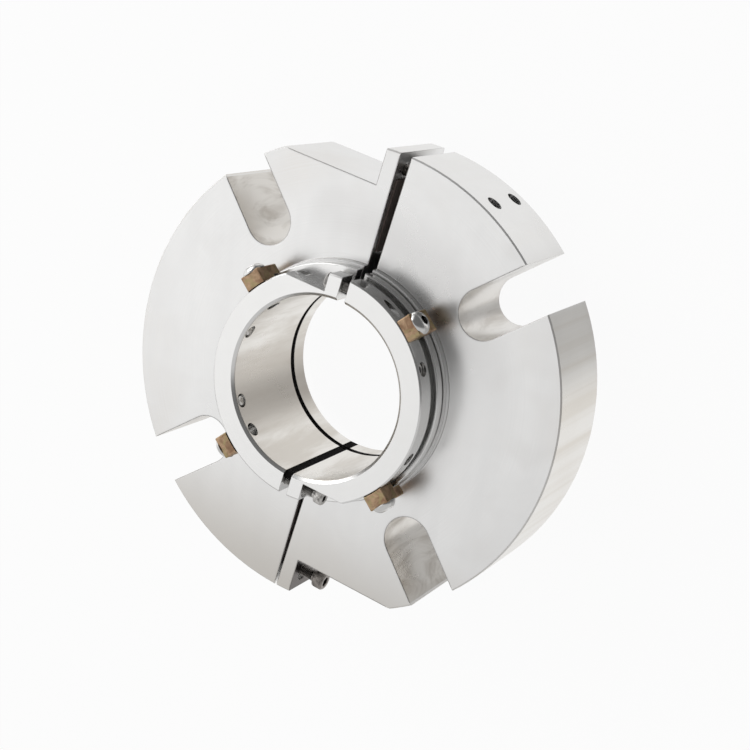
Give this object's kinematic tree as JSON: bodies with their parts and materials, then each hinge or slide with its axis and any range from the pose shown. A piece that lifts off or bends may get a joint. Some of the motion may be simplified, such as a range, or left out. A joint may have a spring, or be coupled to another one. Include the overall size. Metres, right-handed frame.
{
  "type": "split mechanical seal",
  "caption": "Split mechanical seal: a two-part flanged gland with open stud slots around a two-part clamp holder that turns with the shaft, with brass setting clips.",
  "frame": {"origin": "shaft axis at the gland's back face", "axes": "+Z along the shaft axis, out of the gland's front towards the holder's flange; the stud slots lie on X and Y and the joint plane lies between them"},
  "size_m": [0.2058, 0.2058, 0.0653],
  "materials": {
    "gland_steel": "fine turned",
    "holder_steel": "fine turned",
    "bright_screw": "polished",
    "screw_steel": "satin",
    "dark_screw": "dark satin",
    "spring_steel": "satin",
    "brass": "milled",
    "carbon_face": "lapped",
    "hard_face": "lapped",
    "rubber": "moulded",
    "gasket": "matt"
  },
  "bodies": {
    "gland": {"gland_left": "gland_steel", "gland_right": "gland_steel", "gland_screw_top_front": "dark_screw", "gland_screw_top_back": "dark_screw", "gland_screw_bottom_front": "dark_screw", "gland_screw_bottom_back": "dark_screw", "gland_gasket_top": "gasket", "gland_gasket_bottom": "gasket", "face_gasket_left": "gasket", "face_gasket_right": "gasket", "springs": "spring_steel", "stator_pins": "spring_steel"},
    "stator": {"stator_left": "carbon_face", "stator_right": "carbon_face", "stator_ring": "rubber"},
    "rotor": {"holder_left": "holder_steel", "holder_right": "holder_steel", "holder_screw_top": "screw_steel", "holder_screw_bottom": "screw_steel", "holder_gasket_top": "rubber", "holder_gasket_bottom": "rubber", "rotor_left": "hard_face", "rotor_right": "hard_face", "rotor_ring": "rubber", "drive_pins": "spring_steel", "shaft_ring": "rubber", "set_screw_1": "screw_steel", "clip_1": "brass", "clip_screw_1": "bright_screw", "set_screw_2": "screw_steel", "clip_2": "brass", "clip_screw_2": "bright_screw", "set_screw_3": "screw_steel", "clip_3": "brass", "clip_screw_3": "bright_screw", "set_screw_4": "screw_steel", "clip_4": "brass", "clip_screw_4": "bright_screw"}
  },
  "joints": [
    {"name": "rotor_spin", "type": "hinge", "parent": "gland", "child": "rotor", "pos_m": [0, 0, 0], "axis": [0, 0, 1], "continuous": true},
    {"name": "face_float", "type": "slide", "parent": "gland", "child": "stator", "axis": [0, 0, 1], "range_m": [0, 0.0018], "stiffness_N_per_m": 5500, "springref_m": -0.002, "deforming": ["springs"]}
  ]
}
